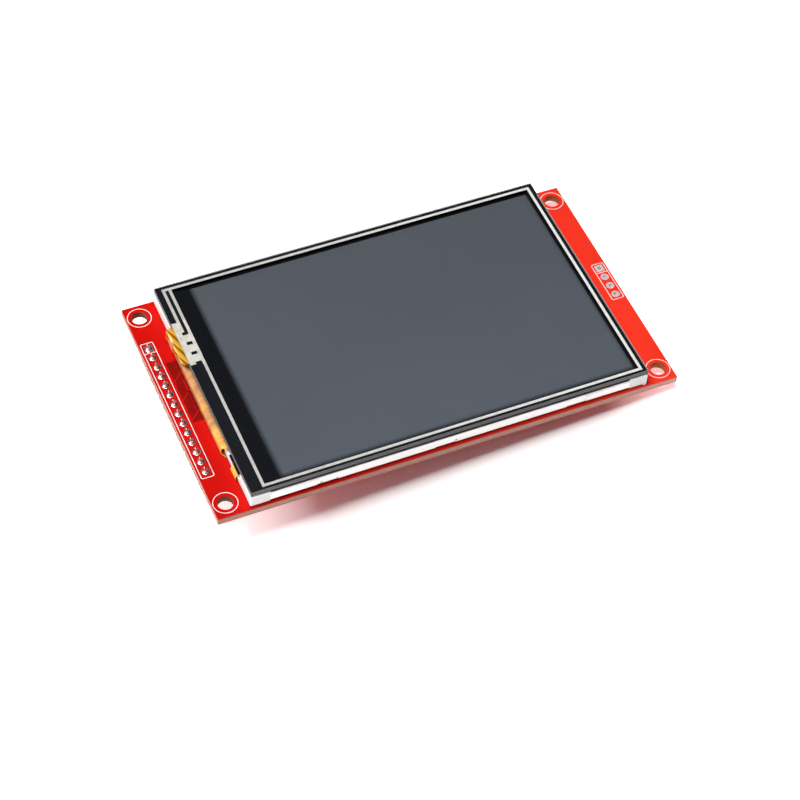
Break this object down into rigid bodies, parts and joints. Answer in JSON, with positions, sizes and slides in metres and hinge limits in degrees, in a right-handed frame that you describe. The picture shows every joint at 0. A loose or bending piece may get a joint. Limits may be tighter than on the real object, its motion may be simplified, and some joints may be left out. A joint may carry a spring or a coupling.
{
  "type": "tft display module",
  "caption": "Flat touch display on a red circuit board, with corner mounting holes, a pin header at one end and a card socket behind.",
  "frame": {"origin": "centre of the four mounting holes, on the board's front face", "axes": "+X from the pin header towards the other end, along the board's length; +Y across the board; +Z out of the screen"},
  "size_m": [0.098, 0.0564, 0.0146],
  "materials": {
    "red_mask": "glossy red solder mask over glass-fibre board",
    "white_print": "thin matt white printing ink",
    "tin": "bright tin plating and solder",
    "black_plastic": "moulded black plastic, lightly textured",
    "pin_metal": "bright plated square wire",
    "foam": "closed-cell foam tape",
    "steel": "thin bright cold-rolled steel",
    "white_film": "white reflective film",
    "clear_plastic": "clear moulded acrylic",
    "amber_flex": "polyimide film over copper",
    "diode": "white diode packages with yellow faces",
    "optical_film": "frosted optical film",
    "white_plastic": "moulded white plastic",
    "black_tape": "black adhesive tape",
    "polariser": "neutral grey polarising film",
    "display_glass": "thin display glass",
    "silicon": "bare polished silicon",
    "black_ink": "black insulating ink",
    "clear_glass": "clear coated glass",
    "silver_ink": "printed silver ink",
    "clear_film": "clear glossy polyester film",
    "gold_flex": "glossy golden flexible circuit",
    "gold": "gold-plated spring bronze",
    "chip_black": "moulded epoxy chip body",
    "resistor": "black glazed resistor top",
    "ceramic": "tan ceramic capacitor body"
  },
  "bodies": {
    "root": {"circuit_board": "red_mask", "board_print": "white_print", "header_pads": "tin", "header_base": "black_plastic", "header_pins": "pin_metal", "header_solder": "tin", "card_header_pads": "tin", "foam_strips": "foam", "steel_tray": "steel", "reflector_film": "white_film", "light_guide": "clear_plastic", "backlight_flex": "amber_flex", "backlight_leds": "diode", "diffuser_film": "optical_film", "lower_prism_film": "optical_film", "upper_prism_film": "optical_film", "plastic_frame": "white_plastic", "rim_tape": "black_tape", "rear_polariser": "polariser", "tft_glass": "display_glass", "filter_glass": "display_glass", "front_polariser": "polariser", "driver_chip": "silicon", "display_flex": "amber_flex", "flex_solder": "tin", "touch_gasket": "black_tape", "touch_glass": "clear_glass", "touch_spacer": "black_ink", "silver_tracks": "silver_ink", "touch_film": "clear_film", "touch_flex": "gold_flex", "socket_shell": "steel", "socket_body": "black_plastic", "socket_contacts": "gold", "touch_controller": "chip_black", "controller_leads": "tin", "voltage_regulator": "chip_black", "backlight_transistor": "chip_black", "small_chip_leads": "tin", "chip_resistors": "resistor", "chip_capacitors": "ceramic", "chip_part_ends": "tin"}
  },
  "joints": []
}
